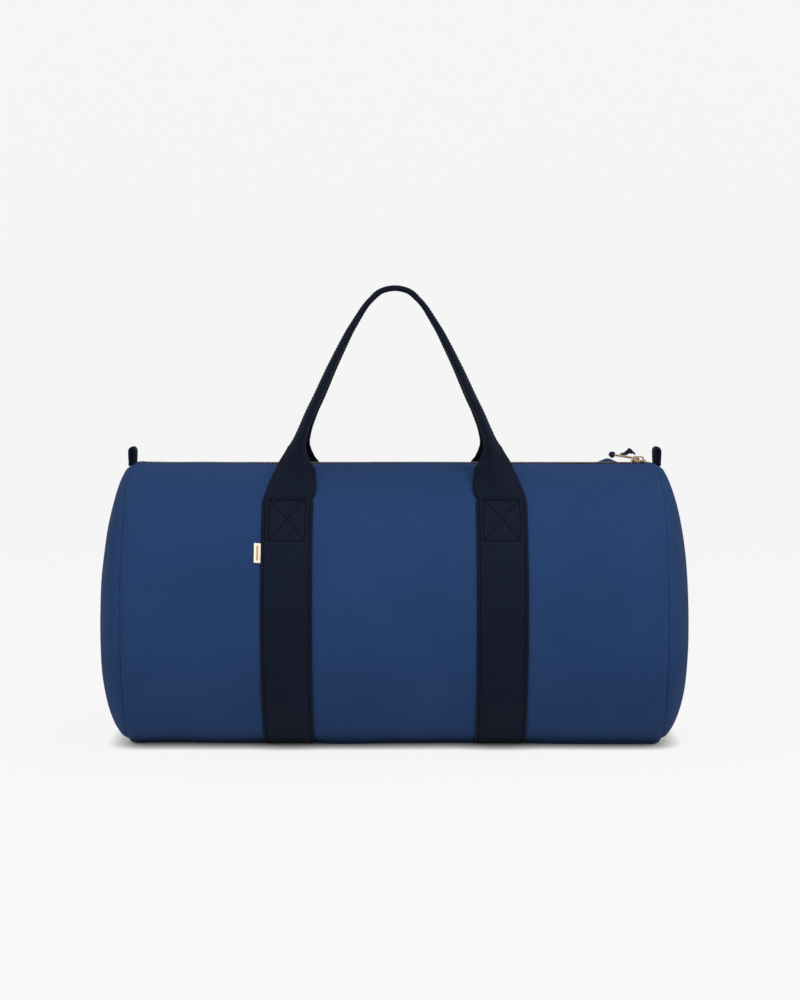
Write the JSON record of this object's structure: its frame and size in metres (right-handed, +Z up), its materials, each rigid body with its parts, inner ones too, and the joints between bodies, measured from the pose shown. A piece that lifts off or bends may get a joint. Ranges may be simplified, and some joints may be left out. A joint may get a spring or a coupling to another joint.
{
  "type": "weekender bag",
  "caption": "Soft canvas barrel bag with domed ends, a top zip with a brass pull, and two raised webbing handles on wrap-round bands.",
  "frame": {"origin": "floor under the middle of the bag", "axes": "+X along the barrel towards the closed end of the zip, +Z up, -Y is the front"},
  "size_m": [0.5908, 0.2988, 0.46],
  "materials": {
    "canvas": "matte heavy cotton canvas, navy blue",
    "webbing": "ribbed cotton webbing, dark navy",
    "zip_tape": "woven tape, near black",
    "brass": "antique satin",
    "ribbon": "woven ribbon, dark navy",
    "label": "cream woven label"
  },
  "bodies": {
    "shell": {"body_panel": "canvas", "end_panel_left": "canvas", "end_panel_right": "canvas", "seam_binding_left": "zip_tape", "seam_binding_right": "zip_tape", "band_left": "webbing", "band_right": "webbing", "end_loop_left": "webbing", "end_loop_right": "webbing", "zip_tape_front": "zip_tape", "zip_tape_back": "zip_tape", "zip_teeth_front": "brass", "zip_teeth_back": "brass", "zip_stops_top": "brass", "zip_stop_bottom": "brass", "side_label": "label"},
    "handle_front": {"handle_front": "webbing"},
    "handle_back": {"handle_back": "webbing"},
    "slider": {"slider_body": "brass", "slider_bail": "brass"},
    "pull": {"pull_tab": "brass", "pull_knob": "ribbon"},
    "ribbon": {"pull_ribbon": "ribbon"}
  },
  "joints": [
    {"name": "handle_front_swing", "type": "hinge", "parent": "shell", "child": "handle_front", "pos_m": [0, -0.09446, 0.24959], "axis": [1, 0, 0], "range_deg": [0, 120]},
    {"name": "handle_back_swing", "type": "hinge", "parent": "shell", "child": "handle_back", "pos_m": [0, 0.09446, 0.24959], "axis": [-1, 0, 0], "range_deg": [0, 120]},
    {"name": "zip_slide", "type": "slide", "parent": "shell", "child": "slider", "axis": [-1, 0, 0], "range_m": [0, 0.474]},
    {"name": "pull_swing", "type": "hinge", "parent": "slider", "child": "pull", "pos_m": [0.2475, 0, 0.2845], "axis": [0, 1, 0], "range_deg": [0, 110]},
    {"name": "ribbon_flex", "type": "hinge", "parent": "pull", "child": "ribbon", "pos_m": [0.22894, 0, 0.28876], "axis": [0, -1, 0], "range_deg": [0, 50]}
  ]
}
